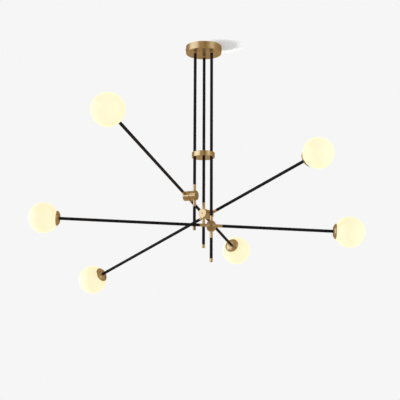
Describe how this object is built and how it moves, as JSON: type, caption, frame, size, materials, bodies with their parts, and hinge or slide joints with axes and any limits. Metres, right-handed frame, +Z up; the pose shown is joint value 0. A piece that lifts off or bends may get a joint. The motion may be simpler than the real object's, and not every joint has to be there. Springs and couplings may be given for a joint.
{
  "type": "branch chandelier",
  "caption": "Ceiling chandelier: parallel stems from a round canopy carry pivoting drum hubs, each with a straight arm that ends in lit opal globes.",
  "frame": {"origin": "centre of the ceiling bracket's top face, on the ceiling plane", "axes": "+Z up, out of the ceiling face; +X to the right and -Y to the front as the picture shows it"},
  "size_m": [1.314, 1.1843, 0.9775],
  "materials": {
    "brushed_brass": "brushed, lacquered",
    "turned_brass": "turned, lacquered",
    "black_tube": "satin powder coat on steel tube",
    "opal_glass": "gloss opal glass",
    "zinc_steel": "zinc plated",
    "black_screw": "blackened steel",
    "wire_sleeving": "smooth insulation",
    "nylon": "plain nylon",
    "ceramic": "glazed ceramic",
    "lamp_plastic": "frosted",
    "block_plastic": "moulded"
  },
  "bodies": {
    "frame": {"canopy": "brushed_brass", "canopy_plate": "zinc_steel", "canopy_screws": "turned_brass", "ceiling_bracket": "zinc_steel", "spacer_disc": "brushed_brass", "spacer_screws": "black_screw", "stem_back": "black_tube", "stem_left": "black_tube", "stem_nipples": "zinc_steel", "stem_nuts": "zinc_steel", "stem_right": "black_tube", "stem_sleeves": "turned_brass", "stem_tails": "black_tube", "stem_washers": "zinc_steel", "stem_wires": "wire_sleeving", "tail_plugs": "turned_brass", "terminal_block": "block_plastic"},
    "upper_hub": {"upper_friction_washer": "nylon", "upper_stem_drum": "turned_brass", "upper_stem_drum_screw": "black_screw"},
    "upper_arm": {"upper_arm_drum": "turned_brass", "upper_arm_drum_screws": "black_screw", "upper_arm_sleeve": "turned_brass", "upper_arm_tubes": "black_tube", "upper_arm_wires": "wire_sleeving", "upper_bulbs": "lamp_plastic", "upper_globe_caps": "turned_brass", "upper_globe_long": "opal_glass", "upper_globe_short": "opal_glass", "upper_lamp_holders": "ceramic", "upper_shade_rings": "zinc_steel"},
    "middle_hub": {"middle_friction_washer": "nylon", "middle_stem_drum": "turned_brass", "middle_stem_drum_screw": "black_screw"},
    "middle_arm": {"middle_arm_drum": "turned_brass", "middle_arm_drum_screws": "black_screw", "middle_arm_sleeve": "turned_brass", "middle_arm_tubes": "black_tube", "middle_arm_wires": "wire_sleeving", "middle_bulbs": "lamp_plastic", "middle_globe_caps": "turned_brass", "middle_globe_long": "opal_glass", "middle_globe_short": "opal_glass", "middle_lamp_holders": "ceramic", "middle_shade_rings": "zinc_steel"},
    "lower_hub": {"lower_friction_washer": "nylon", "lower_stem_drum": "turned_brass", "lower_stem_drum_screw": "black_screw"},
    "lower_arm": {"lower_arm_drum": "turned_brass", "lower_arm_drum_screws": "black_screw", "lower_arm_sleeve": "turned_brass", "lower_arm_tubes": "black_tube", "lower_arm_wires": "wire_sleeving", "lower_bulbs": "lamp_plastic", "lower_globe_caps": "turned_brass", "lower_globe_long": "opal_glass", "lower_globe_short": "opal_glass", "lower_lamp_holders": "ceramic", "lower_shade_rings": "zinc_steel"}
  },
  "joints": [
    {"name": "upper_swivel", "type": "hinge", "parent": "frame", "child": "upper_hub", "pos_m": [-0.03334, -0.01925, -0.623], "axis": [0, 0, 1], "range_deg": [-20, 45]},
    {"name": "upper_tilt", "type": "hinge", "parent": "upper_hub", "child": "upper_arm", "pos_m": [-0.065, -0.00684, -0.623], "axis": [-0.9311, 0.3649, 0], "range_deg": [-60, 10]},
    {"name": "middle_swivel", "type": "hinge", "parent": "frame", "child": "middle_hub", "pos_m": [0, 0.0385, -0.686], "axis": [0, 0, 1], "range_deg": [-40, 25]},
    {"name": "middle_tilt", "type": "hinge", "parent": "middle_hub", "child": "middle_arm", "pos_m": [0.01807, 0.0673, -0.686], "axis": [0.5314, 0.8471, 0], "range_deg": [-24, 30]},
    {"name": "lower_swivel", "type": "hinge", "parent": "frame", "child": "lower_hub", "pos_m": [0.03334, -0.01925, -0.749], "axis": [0, 0, 1], "range_deg": [-15, 50]},
    {"name": "lower_tilt", "type": "hinge", "parent": "lower_hub", "child": "lower_arm", "pos_m": [0.03447, -0.05323, -0.749], "axis": [-0.0332, 0.9995, 0], "range_deg": [-32, 35]}
  ]
}
